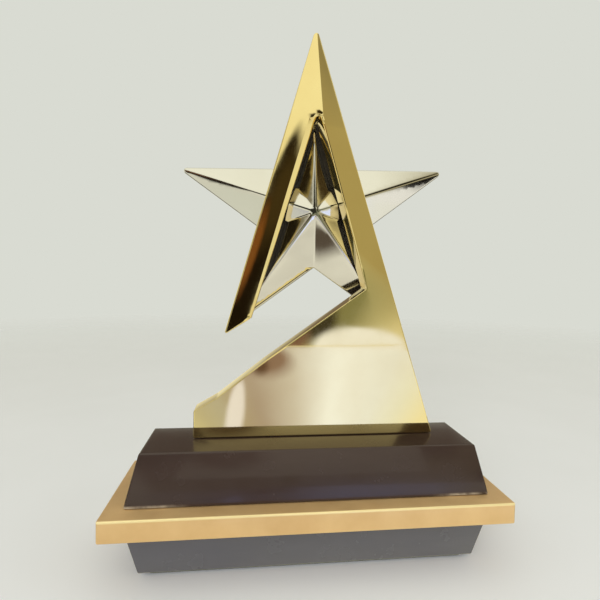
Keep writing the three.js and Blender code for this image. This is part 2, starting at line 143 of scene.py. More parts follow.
def ring(corners, inward=0.0, step=SPAN_STEP, arc_steps=ARC_STEPS):
    """A closed outline with rounded corners, moved inwards. It has as many points at every inset."""
    sharp = [point for point, _ in corners]
    moved = inset_corners(sharp, inward)
    count = len(corners)
    starts, arcs, ends = [], [], []
    for i in range(count):
        corner = Vector(moved[i])
        before = (Vector(moved[i - 1]) - corner).normalized()
        after = (Vector(moved[(i + 1) % count]) - corner).normalized()
        turn = before.x * after.y - before.y * after.x
        convex = turn < 0
        radius = max(corners[i][1] - inward, 0.12) if convex else corners[i][1] + inward
        half = math.acos(max(-1.0, min(1.0, before.dot(after)))) / 2
        start = corner + before * (radius / math.tan(half))
        end = corner + after * (radius / math.tan(half))
        middle = corner + (before + after).normalized() * (radius / math.sin(half))
        first, last = start - middle, end - middle
        sweep = math.atan2(first.x * last.y - first.y * last.x, first.dot(last))
        arc = []
        for k in range(1, arc_steps):
            angle = sweep * k / arc_steps
            turned = Matrix.Rotation(angle, 2) @ first
            arc.append(middle + turned)
        starts.append(start)
        arcs.append(arc)
        ends.append(end)
    points = []
    for i in range(count):
        points += [starts[i], *arcs[i], ends[i]]
        here, there = Vector(sharp[i]), Vector(sharp[(i + 1) % count])
        pieces = max(1, round((there - here).length / step))
        points += [ends[i].lerp(starts[(i + 1) % count], k / pieces) for k in range(1, pieces)]
    return points


def inside(point, loop):
    """True if the point is inside the closed loop."""
    x, y = point
    found = False
    for i, a in enumerate(loop):
        b = loop[i - 1]
        if (a[1] > y) != (b[1] > y) and x < (b[0] - a[0]) * (y - a[1]) / (b[1] - a[1]) + a[0]:
            found = not found
    return found


def mesh_object(name, points, faces, sharp_above=math.radians(25)):
    """A smooth-shaded object from points in millimetres, with its sharper edges kept sharp."""
    mesh = bpy.data.meshes.new(name)
    mesh.from_pydata([Vector(p) * MM for p in points], [], faces)
    mesh.validate()
    bm = bmesh.new()
    bm.from_mesh(mesh)
    bmesh.ops.remove_doubles(bm, verts=bm.verts, dist=1e-6)
    bmesh.ops.recalc_face_normals(bm, faces=bm.faces)
    for face in bm.faces:
        face.smooth = True
    for edge in bm.edges:
        edge.smooth = edge.calc_face_angle(0.0) < sharp_above
    bm.to_mesh(mesh)
    bm.free()
    made = bpy.data.objects.new(name, mesh)
    bpy.context.scene.collection.objects.link(made)
    return made


def loft(rings, cap_first=True, cap_last=True):
    """Points and faces of closed rings joined one to the next."""
    size = len(rings[0])
    points = [tuple(p) for each in rings for p in each]
    faces = []
    for level in range(len(rings) - 1):
        for i in range(size):
            a, b = level * size + i, level * size + (i + 1) % size
            faces.append((a, b, b + size, a + size))
    if cap_first:
        faces.append(tuple(reversed(range(size))))
    if cap_last:
        faces.append(tuple(range((len(rings) - 1) * size, len(rings) * size)))
    return points, faces


def finish_piece(piece, material, slot, *nodes):
    """Gives a new piece its material and its body, and hides the CAD nodes that it stands for."""
    piece.data.materials.clear()
    piece.data.materials.append(material)
    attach(piece, "root")
    if nodes:
        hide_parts(*nodes)


# ------------------------------------------------------------------ materials

def new_material(name):
    """A node material: the material, its tree, its shader and object coordinates in metres."""
    material = bpy.data.materials.new(name)
    material.use_nodes = True
    tree = material.node_tree
    shader = tree.nodes["Principled BSDF"]
    place = tree.nodes.new("ShaderNodeTexCoord")
    return material, tree, shader, place.outputs["Object"]


def noise(tree, place, scale, detail=3.0, roughness=0.5, stretch=(1, 1, 1)):
    mapping = tree.nodes.new("ShaderNodeMapping")
    mapping.inputs["Scale"].default_value = stretch
    tree.links.new(place, mapping.inputs["Vector"])
    node = tree.nodes.new("ShaderNodeTexNoise")
    node.inputs["Scale"].default_value = scale
    node.inputs["Detail"].default_value = detail
    node.inputs["Roughness"].default_value = roughness
    tree.links.new(mapping.outputs["Vector"], node.inputs["Vector"])
    return node.outputs["Fac"]


def spread(tree, value, low, high, start=0.3, end=0.7):
    """Maps a value from start..end to low..high. The usual range is that of a noise."""
    node = tree.nodes.new("ShaderNodeMapRange")
    for name, number in (("From Min", start), ("From Max", end), ("To Min", low), ("To Max", high)):
        node.inputs[name].default_value = number
    tree.links.new(value, node.inputs["Value"])
    return node.outputs["Result"]


def math_node(tree, operation, first, second=None):
    node = tree.nodes.new("ShaderNodeMath")
    node.operation = operation
    for socket, value in zip(node.inputs, (first, second)):
        if isinstance(value, (int, float)):
            socket.default_value = value
        elif value is not None:
            tree.links.new(value, socket)
    return node.outputs[0]


def mix_colour(tree, factor, first, second):
    node = tree.nodes.new("ShaderNodeMix")
    node.data_type = "RGBA"
    tree.links.new(factor, node.inputs["Factor"])
    for socket, colour in ((node.inputs[6], first), (node.inputs[7], second)):
        if isinstance(colour, tuple):
            socket.default_value = (*colour, 1)
        else:
            tree.links.new(colour, socket)
    return node.outputs[2]


def bump(tree, shader, height, distance, strength=1.0, under=None):
    node = tree.nodes.new("ShaderNodeBump")
    node.inputs["Distance"].default_value = distance
    node.inputs["Strength"].default_value = strength
    tree.links.new(height, node.inputs["Height"])
    if under is not None:
        tree.links.new(under, node.inputs["Normal"])
    tree.links.new(node.outputs["Normal"], shader.inputs["Normal"])
    return node.outputs["Normal"]


DARK_PAINT = (0.020, 0.012, 0.007)


def polished_metal(name, colour, tarnish, low, high, wave, painted_from=None):
    """Polished metal: buffing haze, faint tarnish, hairline scratches and slightly wavy faces.

    Behind the depth painted_from, in metres, the metal turns the dark brown of the covers, rougher and not
    metallic.
    """
    material, tree, shader, place = new_material(name)
    shader.inputs["Metallic"].default_value = 1.0
    patches = noise(tree, place, 26, 4)
    tint = mix_colour(tree, spread(tree, patches, 0, 0.55, 0.42, 0.75), colour, tarnish)
    haze = spread(tree, noise(tree, place, 60, 5, 0.6), low, high)
    if painted_from is not None:
        split = tree.nodes.new("ShaderNodeSeparateXYZ")
        tree.links.new(place, split.inputs[0])
        painted = spread(tree, split.outputs["Y"], 0, 1, painted_from - 0.0001, painted_from + 0.0001)
        tint = mix_colour(tree, painted, tint, DARK_PAINT)
        haze = math_node(tree, "ADD", haze, math_node(tree, "MULTIPLY", painted, 0.35))
        tree.links.new(math_node(tree, "SUBTRACT", 1.0, painted), shader.inputs["Metallic"])
    tree.links.new(tint, shader.inputs["Base Color"])
    tree.links.new(haze, shader.inputs["Roughness"])
    waves = noise(tree, place, 22, 1)
    first = bump(tree, shader, waves, wave, 1.0)
    hairlines = noise(tree, place, 900, 2, 0.6, (1.0, 1.0, 0.05))
    bump(tree, shader, hairlines, 0.000004, 0.35, first)
    return material


GLUE = (0.40, 0.34, 0.27)
WEAR_FADE = 0.0009               # height over which the pale line fades out
WEAR_ENDS = (0.060, 0.074)       # distance from the middle where it starts and is full


def lacquer_material(name, colour, light, worn_below=None):
    """Dark gloss lacquer over fibre board: clear coat, faint orange peel, dust and mottled pigment.

    Below the height worn_below, in metres, pale glue and chips show near both ends.
    """
    material, tree, shader, place = new_material(name)
    streaks = noise(tree, place, 18, 5, 0.6, (0.35, 1.0, 2.2))
    tint = mix_colour(tree, spread(tree, streaks, 0, 1), colour, light)
    if worn_below is not None:
        split = tree.nodes.new("ShaderNodeSeparateXYZ")
        tree.links.new(place, split.inputs[0])
        low = spread(tree, split.outputs["Z"], 1, 0, worn_below - WEAR_FADE, worn_below)
        ends = spread(tree, math_node(tree, "ABSOLUTE", split.outputs["X"]), 0, 1, *WEAR_ENDS)
        flecks = spread(tree, noise(tree, place, 130, 4), 0, 1, 0.34, 0.60)
        worn = math_node(tree, "MULTIPLY", math_node(tree, "MULTIPLY", low, ends), flecks)
        tint = mix_colour(tree, worn, tint, GLUE)
    tree.links.new(tint, shader.inputs["Base Color"])
    tree.links.new(spread(tree, noise(tree, place, 70, 4), 0.16, 0.3), shader.inputs["Roughness"])
    shader.inputs["Specular IOR Level"].default_value = 0.38
    shader.inputs["Coat Weight"].default_value = 0.3
    shader.inputs["Coat Roughness"].default_value = 0.06
    peel = noise(tree, place, 60, 1)
    bump(tree, shader, peel, 0.00004, 0.3)
    return material


def gold_paint_material():
    """Satin gold paint: fine metal flake, roller texture, paler worn patches and a highlight painted along
    the top front edge.
    """
    material, tree, shader, place = new_material("gold_paint")
    patches = spread(tree, noise(tree, place, 24, 6, 0.6), 0, 1)
    tint = mix_colour(tree, patches, (0.73, 0.47, 0.22), (0.87, 0.61, 0.32))
    split = tree.nodes.new("ShaderNodeSeparateXYZ")
    tree.links.new(place, split.inputs[0])
    low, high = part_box("gold_band")
    # Painted highlight: the colour turns pale gold along the board's top front edge, standing in for the edge
    # catching the light.
    upper = spread(tree, split.outputs["Z"], 0, 1, high.z - 0.0012, high.z - 0.0007)
    front = spread(tree, split.outputs["Y"], 1, 0, low.y + 0.0003, low.y + 0.0009)
    wear_and_edge_highlight = math_node(tree, "MULTIPLY", upper, front)
    tree.links.new(mix_colour(tree, wear_and_edge_highlight, tint, (1.0, 0.84, 0.46)), shader.inputs["Base Color"])
    shader.inputs["Metallic"].default_value = 0.5
    tree.links.new(spread(tree, noise(tree, place, 120, 4), 0.30, 0.44), shader.inputs["Roughness"])
    first = bump(tree, shader, noise(tree, place, 420, 3), 0.00008, 0.35)
    bump(tree, shader, noise(tree, place, 2400, 1), 0.00002, 0.4, first)
    return material


def dark_paint_material():
    """Satin dark brown paint on the covers at the back, a little worn."""
    material, tree, shader, place = new_material("dark_paint")
    wear_and_edge_highlight = spread(tree, noise(tree, place, 45, 6, 0.65), 0, 1, 0.4, 0.75)
    tree.links.new(mix_colour(tree, wear_and_edge_highlight, DARK_PAINT, (0.055, 0.036, 0.020)), shader.inputs["Base Color"])
    tree.links.new(spread(tree, noise(tree, place, 90, 4), 0.3, 0.5), shader.inputs["Roughness"])
    bump(tree, shader, noise(tree, place, 700, 3), 0.00005, 0.3)
    return material


def steel_material():
    """Zinc-plated steel with a fine turned grain."""
    material, tree, shader, place = new_material("zinc_steel")
    shader.inputs["Metallic"].default_value = 1.0
    grain = spread(tree, noise(tree, place, 300, 4), 0, 1)
    tint = mix_colour(tree, grain, (0.48, 0.49, 0.5), (0.66, 0.66, 0.64))
    tree.links.new(tint, shader.inputs["Base Color"])
    tree.links.new(spread(tree, noise(tree, place, 800, 3), 0.22, 0.4), shader.inputs["Roughness"])
    bump(tree, shader, noise(tree, place, 1500, 2), 0.00002, 0.4)
    return material


def felt_material():
    """Dark green felt: matted fibres with a soft sheen."""
    material, tree, shader, place = new_material("felt")
    fibres = noise(tree, place, 1400, 6, 0.7)
    tint = mix_colour(tree, spread(tree, fibres, 0, 1), (0.012, 0.02, 0.014), (0.035, 0.05, 0.037))
    tree.links.new(tint, shader.inputs["Base Color"])
    shader.inputs["Roughness"].default_value = 0.95
    shader.inputs["Sheen Weight"].default_value = 0.4
    bump(tree, shader, fibres, 0.0003, 0.8)
    return material


gold = polished_metal("polished_gold", (0.93, 0.77, 0.37), (0.83, 0.64, 0.28), 0.03, 0.075, 0.00012,
                      (FIGURE_BACK - 0.4) * MM)
nickel = polished_metal("polished_nickel", (0.80, 0.78, 0.73), (0.70, 0.67, 0.60), 0.05, 0.11, 0.00012)
lacquer = lacquer_material("brown_lacquer", (0.034, 0.0195, 0.016), (0.049, 0.030, 0.025),
                           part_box("upper_plinth")[0].z + 0.0015)
grey_lacquer = lacquer_material("grey_lacquer", (0.092, 0.092, 0.116), (0.122, 0.120, 0.146))
dark_paint = dark_paint_material()
gold_paint = gold_paint_material()
steel = steel_material()
felt = felt_material()


# ------------------------------------------------------------------ gold figure

def left_edge_x(z):
    return lerp(APEX[0], LEG_TIP[0], (APEX[1] - z) / (APEX[1] - LEG_TIP[1]))


def right_edge_x(z):
    return lerp(APEX[0], FOOT_RIGHT, (APEX[1] - z) / APEX[1])


def ridge_x(z):
    return lerp(APEX[0], RIDGE_BOTTOM[0], (APEX[1] - z) / (APEX[1] - RIDGE_BOTTOM[1]))


def window_left_x(z):
    return lerp(WINDOW_APEX[0], LEG_INNER[0], (WINDOW_APEX[1] - z) / (WINDOW_APEX[1] - LEG_INNER[1]))


def window_right_x(z):
    return lerp(WINDOW_APEX[0], WINDOW_CORNER[0], (WINDOW_APEX[1] - z) / (WINDOW_APEX[1] - WINDOW_CORNER[1]))


def slant_z(x):
    return lerp(PANEL_LEFT_HEIGHT, WINDOW_CORNER[1], (x - FOOT_LEFT) / (WINDOW_CORNER[0] - FOOT_LEFT))


def left_facet(x, z):
    """Depth of the plane that slopes back to the left edge."""
    lean = math.cos(math.atan2(APEX[0] - LEG_TIP[0], APEX[1] - LEG_TIP[1]))
    return LEFT_SETBACK - math.tan(LEFT_TILT) * (x - left_edge_x(z)) * lean


def bevel_depth(x, z):
    """How far the bevel round the upper window has cut the face back at this point."""
    to_left = (window_left_x(z) - x) * WINDOW_LEFT_LEAN
    to_right = (x - window_right_x(z)) * WINDOW_RIGHT_LEAN
    opening = max(window_right_x(z) - window_left_x(z), 0.5)
    if z < WINDOW_APEX[1]:
        away = max(to_left, to_right)
        on_left = smoothstep(0.35, 0.65, (window_right_x(z) - x) / opening)
    else:
        away = math.hypot(x - WINDOW_APEX[0], z - WINDOW_APEX[1])
        on_left = 0.5
    left_width = lerp(BEVEL_BOTTOM, BEVEL_TOP, smoothstep(LEG_INNER[1], WINDOW_APEX[1], z))
    width = lerp(BEVEL_RIGHT, left_width, on_left) * smoothstep(*BEVEL_FADE, WINDOW_APEX[1] - z)
    return math.tan(BEVEL_TILT) * max(width - max(away, 0.0), 0.0)


def crown(x, low, high, height):
    """A hand-polished face is a little convex: how far it falls back from its middle line."""
    half = max((high - low) / 2, 1.0)
    return height * ((x - (low + high) / 2) / half) ** 2


def relief(x, z):
    """Depth of the figure's front face behind the plane of the lower panel."""
    on_left_leg = x < ridge_x(z) and z > slant_z(x) + 12
    if on_left_leg:
        leg_side = window_left_x(z) - lerp(BEVEL_BOTTOM, BEVEL_TOP, 0.6)
        far_side = lerp(leg_side, ridge_x(z), smoothstep(WINDOW_APEX[1] - 14, WINDOW_APEX[1] + 12, z))
        return left_facet(x, z) + bevel_depth(x, z) + crown(x, left_edge_x(z), far_side, LEFT_CROWN)
    inner = max(ridge_x(z), window_right_x(z)) if z > WINDOW_CORNER[1] else window_right_x(z)
    along = max(z, RIDGE_END_Z)
    crest = left_facet(ridge_x(along), along)
    fade = smoothstep(FLAT_BELOW_Z, RIDGE_END_Z, z)
    slope = math.tan(RIGHT_TILT) * max(x - inner, 0)
    depth = fade * (crest + slope + crown(x, inner, right_edge_x(z), CROWN))
    if z > WINDOW_CORNER[1] + 3:
        depth += bevel_depth(x, z) * smoothstep(WINDOW_CORNER[1] + 3, WINDOW_CORNER[1] + 20, z)
    return depth


def polyline(start, end, step=SPAN_STEP):
    start, end = Vector(start), Vector(end)
    pieces = max(1, round((end - start).length / step))
    return [start.lerp(end, k / pieces) for k in range(pieces + 1)]


def fill_points(loop, creases):
    """A staggered grid inside the loop, clear of it and of the creases."""
    def cell_of(point, size=4):
        return int(point.x // size), int(point.y // size)

    lines = []
    for line in ([*loop, loop[0]], *creases):
        lines += [line[0], *[p for a, b in zip(line, line[1:]) for p in ((a + b) / 2, b)]]
    cells = {}
    for p in lines:
        cells.setdefault(cell_of(p), []).append(p)
    points = []
    row = 0
    z = min(p.y for p in loop)
    while z < max(p.y for p in loop):
        x = min(p.x for p in loop) + (FILL_PITCH / 2 if row % 2 else 0)
        while x < max(p.x for p in loop):
            here = Vector((x, z))
            across, up = cell_of(here)
            near = [q for i in (-1, 0, 1) for j in (-1, 0, 1) for q in cells.get((across + i, up + j), ())]
            if all((q - here).length > FILL_CLEARANCE for q in near) and inside(here, loop):
                points.append(here)
            x += FILL_PITCH
        z += FILL_PITCH * math.sqrt(3) / 2
        row += 1
    return points


def front_fill(loop, creases):
    """Triangles that fill the loop and keep every crease as edges."""
    points = list(loop)
    edges = [(i, (i + 1) % len(loop)) for i in range(len(loop))]
    for crease in creases:
        first = len(points)
        points += crease
        edges += [(first + i, first + i + 1) for i in range(len(crease) - 1)]
    points += fill_points(loop, creases)
    made, _, triangles, *_ = delaunay_2d_cdt(points, edges, [], 0, 1e-5)
    kept = []
    for triangle in triangles:
        a, b, c = (made[i] for i in triangle)
        long_side = max((b - a).length, (c - b).length, (a - c).length)
        flat = abs((b - a).cross(c - a)) < FLAT_SLIVER * long_side ** 2
        if not flat and inside((a + b + c) / 3, loop):
            kept.append(tuple(triangle))
    return made, kept


def build_figure():
    """The hollow casting: a rim round the back, rounded edges and the relief on the front."""
    def upright(points, depth_of):
        return [(p.x, depth_of(p), p.y + FIGURE_Z) for p in points]

    rings = [
        upright(ring(FIGURE_CORNERS, WALL), lambda p: FIGURE_BACK - PLATE_RECESS),
        upright(ring(FIGURE_CORNERS, WALL), lambda p: FIGURE_BACK),
    ]
    for k in range(4):
        angle = math.radians(30 * k)
        inward = BACK_ROUND * (1 - math.sin(angle))
        depth = FIGURE_BACK - BACK_ROUND * (1 - math.cos(angle))
        rings.append(upright(ring(FIGURE_CORNERS, inward), lambda p, d=depth: d))
    for k in range(6):
        angle = math.radians(18 * k)
        inward = EDGE_ROUND * (1 - math.cos(angle))
        sink = EDGE_ROUND * (1 - math.sin(angle))
        rings.append(upright(ring(FIGURE_CORNERS, inward), lambda p, s=sink: relief(p.x, p.y) + s))
    for inset in FRONT_BAND:
        rings.append(upright(ring(FIGURE_CORNERS, EDGE_ROUND + inset), lambda p: relief(p.x, p.y)))
    points, faces = loft(rings, cap_last=False)

    loop = ring(FIGURE_CORNERS, EDGE_ROUND + FRONT_BAND[-1])
    crest = polyline((ridge_x(APEX[1] - 6), APEX[1] - 6), (ridge_x(RIDGE_END_Z + 4), RIDGE_END_Z + 4))
    bevel = []
    for k in range(61):
        z = lerp(WINDOW_APEX[1] - 1, LEG_INNER[1] + 2.5, k / 60)
        width = lerp(BEVEL_BOTTOM, BEVEL_TOP, smoothstep(LEG_INNER[1], WINDOW_APEX[1], z))
        bevel.append(Vector((window_left_x(z) - width / WINDOW_LEFT_LEAN, z)))
    made, triangles = front_fill(loop, [crest, bevel])
    first = len(points)
    points += upright(made, lambda p: relief(p.x, p.y))
    faces += [tuple(first + i for i in triangle) for triangle in triangles]
    return mesh_object("figure_casting", points, faces, math.radians(13))


# ------------------------------------------------------------------ star

def on_star(x, y, z):
    """A point of the star, drawn round its own middle, in the frame of the whole object."""
    turned = Matrix.Rotation(-STAR_YAW, 3, "Z") @ Vector((x, y, z))
    return turned + Vector((STAR_X, 0, STAR_Z + FIGURE_Z))


def star_front(x, z):
    """Depth of the star's front: ten flat facets, with rounded ridges and valleys between them."""
    reach = math.hypot(x, z)
    angle = (math.atan2(z, x) - math.pi / 2 - STAR_TURN) % (2 * math.pi / 5)
    off_ridge = min(angle, 2 * math.pi / 5 - angle)
    half_edge = math.pi / 5
    inner = STAR_OUTER * STAR_RATIO
    edge = math.hypot(STAR_OUTER - inner * math.cos(half_edge), inner * math.sin(half_edge))
    middle_reach = STAR_OUTER * inner * math.sin(half_edge) / edge
    normal_angle = math.acos(middle_reach / STAR_OUTER)
    slope = STAR_RISE / middle_reach
    from_ridge = reach * math.sin(off_ridge)
    from_valley = reach * math.sin(half_edge - off_ridge)
    height = slope * reach * math.cos(normal_angle - off_ridge)
    height += slope * math.sin(normal_angle) * max(RIDGE_HALF - from_ridge, 0.0) ** 2 / (2 * RIDGE_HALF)
    valley_kink = slope * math.sin(half_edge - normal_angle)
    height += valley_kink * max(VALLEY_HALF - from_valley, 0.0) ** 2 / (2 * VALLEY_HALF)
    return STAR_OUTLINE_Y - STAR_RISE + height + notch_bevel(x, z)


def notch_edge():
    """The lower edge of the lower left arm, from its tip to the notch between the two lower arms."""
    tip, notch = star_corners()[4][0], star_corners()[5][0]
    along = (Vector(notch) - Vector(tip)).normalized()
    return Vector(tip), Vector(notch), along, Vector((-along.y, along.x))


def notch_bevel(x, z):
    """How much deeper the star's face lies in the hand-filed bevel along that edge."""
    tip, notch, along, inwards = NOTCH_EDGE
    from_tip = Vector((x, z)) - tip
    run, away = from_tip.dot(along), from_tip.dot(inwards)
    ends = smoothstep(2, 6, run) * smoothstep(0.0, 3.5, (notch - tip).length - run)
    return NOTCH_BEVEL_SLOPE * max(NOTCH_BEVEL * ends - max(away, 0.0), 0.0)


def star_corners():
    """The star's ten corners with their radii, tips and notches by turns, from the top one to the left."""
    corners = []
    for i in range(10):
        radius = STAR_OUTER * (STAR_RATIO if i % 2 else 1)
        angle = math.pi / 2 + i * math.pi / 5 + STAR_TURN
        round_off = STAR_NOTCH_RADIUS if i % 2 else STAR_TIP_RADIUS
        corners.append(((radius * math.cos(angle), radius * math.sin(angle)), round_off))
    return corners


NOTCH_EDGE = notch_edge()


def build_star():
    """A cast star: rounded tips and edges, and facets whose ridges are softly rounded."""
    corners = star_corners()
    back_y = STAR_OUTLINE_Y + STAR_RIM
    rings = [[on_star(p.x, back_y, p.y) for p in ring(corners)]]
    for k in range(6):
        angle = math.radians(18 * k)
        inward = STAR_EDGE_ROUND * (1 - math.cos(angle))
        sink = STAR_EDGE_ROUND * (1 - math.sin(angle))
        rings.append([on_star(p.x, star_front(p.x, p.y) + sink, p.y) for p in ring(corners, inward)])
    loop = ring(corners, STAR_EDGE_ROUND + STAR_FRONT_BAND)
    rings.append([on_star(p.x, star_front(p.x, p.y), p.y) for p in loop])
    points, faces = loft(rings, cap_last=False)
    creases = []
    for (corner, _), (far, half) in zip(corners, [(5.5, RIDGE_HALF), (1.4, VALLEY_HALF)] * 5):
        tip = Vector(corner)
        along = tip.normalized()
        across = Vector((-along.y, along.x))
        for side in (-1, -0.5, 0, 0.5, 1):
            near = 3.2 if side else 2.4
            start = along * near + across * side * half
            end = along * (tip.length - far) + across * side * half
            creases.append(polyline(start, end))
    creases.append([Vector((0.0, 0.0))])
    tip, notch, along, inwards = NOTCH_EDGE
    foot = inwards * NOTCH_BEVEL
    creases.append(polyline(tip + along * 8 + foot, notch - along * 5 + foot))
    made, triangles = front_fill(loop, creases)
    first = len(points)
    points += [on_star(p.x, star_front(p.x, p.y), p.y) for p in made]
    faces += [tuple(first + i for i in triangle) for triangle in triangles]
    return mesh_object("star_casting", points, faces, math.radians(40))


# ------------------------------------------------------------------ screws at the back

def cross_recess(x, z, reach):
    """Depth of a cross-shaped driver recess, tapering to its ends."""
    arm = reach * 0.22
    along_x = smoothstep(arm * 1.15, arm * 0.7, abs(z)) * smoothstep(reach, reach * 0.75, abs(x))
    along_z = smoothstep(arm * 1.15, arm * 0.7, abs(x)) * smoothstep(reach, reach * 0.75, abs(z))
    return reach * 0.55 * max(along_x, along_z) * (1 - 0.45 * math.hypot(x, z) / reach)


def slot_recess(x, z, reach):
    """Depth of a straight driver slot across the whole head."""
    return 0.9 * smoothstep(0.5, 0.38, abs(z))


HEAD_LIP, TIP_TAPER = 0.15, 0.8


def build_screw(node, head, dome, height, countersunk, recess):
    """A screw seen from behind: its driven head, and its shank inside the casting."""
    low, high = (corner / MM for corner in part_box(node))
    x, z = (low.x + high.x) / 2, (low.z + high.z) / 2
    back, tip = high.y, low.y
    shank = head * 0.5
    sides, steps = 64, 20

    def circle(radius, depth_at):
        loop = []
        for k in range(sides):
            angle = 2 * math.pi * k / sides
            dx, dz = radius * math.cos(angle), radius * math.sin(angle)
            loop.append((x + dx, depth_at(dx, dz), z + dz))
        return loop

    rings = []
    for step in range(1, steps + 1):
        radius = head * step / steps
        bulge = dome * (1 - (radius / head) ** 2)
        rings.append(circle(radius, lambda dx, dz, b=bulge: back - dome + b - recess(dx, dz, head * 0.7)))
    under_head = back - dome - HEAD_LIP if countersunk else back - height
    shaft = [(head, under_head), (shank, back - height), (shank, tip + TIP_TAPER), (shank * 0.3, tip)]
    for radius, y in shaft:
        rings.append(circle(radius, lambda dx, dz, d=y: d))
    piece = mesh_object(node + "_driven", *loft(rings), math.radians(35))
    finish_piece(piece, steel, "steel", node)


def build_screws():
    """The cover screws have cross recesses, and the star's round-headed screws have slots."""
    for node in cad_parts:
        if node.startswith("cover_screw_"):
            build_screw(node, 2.6, 0.35, 1.1, True, cross_recess)
        elif node.startswith("star_screw_"):
            build_screw(node, 3.4, 0.8, 2.2, False, slot_recess)


# ------------------------------------------------------------------ base

def block_rings(width, depth, corner, profile):
    """Rounded rectangles for each (z, inset) of a block's side profile."""
    corners = [
        ((-width / 2, -depth / 2), corner),
        ((width / 2, -depth / 2), corner),
        ((width / 2, depth / 2), corner),
        ((-width / 2, depth / 2), corner),
    ]
    return [[(p.x, p.y, z) for p in ring(corners, inward, 12, 8)] for z, inward in profile]


def rounded_profile(bottom, top, foot_inset, head_inset, foot_round, head_round, steps=5):
    """A block's side from its lower edge to its upper edge, both rounded."""
    run = head_inset - foot_inset
    lean = run / (top - bottom)
    profile = []
    for k in range(steps + 1):
        angle = math.radians(90 * k / steps)
        rise = foot_round * (1 - math.cos(angle))
        profile.append((bottom + rise, foot_inset + lean * rise + foot_round * (1 - math.sin(angle))))
    for k in range(steps + 1):
        angle = math.radians(90 * k / steps)
        drop = head_round * (1 - math.sin(angle))
        profile.append((top - drop, head_inset - lean * drop + head_round * (1 - math.cos(angle))))
    return profile


def build_block(name, node, corner, foot_inset, head_inset, foot_round, head_round):
    low, high = (corner_point / MM for corner_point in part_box(node))
    profile = rounded_profile(low.z, high.z, foot_inset, head_inset, foot_round, head_round)
    rings = block_rings(high.x - low.x, high.y - low.y, corner, profile)
    return mesh_object(name, *loft(rings), math.radians(30))


def build_base():
    """Two lacquered blocks, the gold board between them and the felt underneath."""
    upper = build_block("upper_block", "upper_plinth", 1.6, 0, TAPER, 0.4, 0.8)
    finish_piece(upper, lacquer, "lacquer", "upper_plinth")
    lower = build_block("lower_block", "lower_plinth", 1.6, TAPER, 0, 1.4, 0.4)
    finish_piece(lower, grey_lacquer, "grey_lacquer", "lower_plinth")
    band = build_block("gold_board", "gold_band", 1.2, 0, 0, 0.5, 0.7)
    finish_piece(band, gold_paint, "gold_paint", "gold_band")
    pad = build_block("felt_sheet", "felt_pad", 4, 0, 0, 0.3, 0.3)
    finish_piece(pad, felt, "felt", "felt_pad")


# ------------------------------------------------------------------ camera, light and stage

EYE = Vector((-0.0321, -0.2247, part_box("gold_band")[1].z + 0.1111))
LOOK_YAW, LOOK_PITCH, LOOK_ROLL = math.radians(-6.58), math.radians(-2.24), math.radians(1.10)
LENS_MM = 25.4
LENS_SHIFT = (-0.0017, -0.0125)


def set_camera():
    """The viewpoint: left of the middle, at the height of the star's lower notch, looking slightly down."""
    data = bpy.data.cameras.new("camera")
    camera = bpy.data.objects.new("camera", data)
    bpy.context.scene.collection.objects.link(camera)
    ahead = Vector((-math.sin(LOOK_YAW), math.cos(LOOK_YAW), 0))
    forward = ahead * math.cos(LOOK_PITCH) + Vector((0, 0, math.sin(LOOK_PITCH)))
    level = Vector((math.cos(LOOK_YAW), math.sin(LOOK_YAW), 0))
    upright = level.cross(forward)
    right = level * math.cos(LOOK_ROLL) + upright * math.sin(LOOK_ROLL)
    up = upright * math.cos(LOOK_ROLL) - level * math.sin(LOOK_ROLL)
    turn = Matrix((right, up, -forward)).transposed()
    camera.matrix_world = Matrix.Translation(EYE) @ turn.to_4x4()
    data.lens = LENS_MM
    data.shift_x, data.shift_y = LENS_SHIFT
    data.clip_start = 0.01
    bpy.context.scene.camera = camera


BACKGROUND = (0.694, 0.708, 0.645)


def vector_node(tree, operation, first, second=None, output="Vector"):
    node = tree.nodes.new("ShaderNodeVectorMath")
    node.operation = operation
    tree.links.new(first, node.inputs[0])
    if second is not None:
        node.inputs[1].default_value = second
    return node.outputs[output]


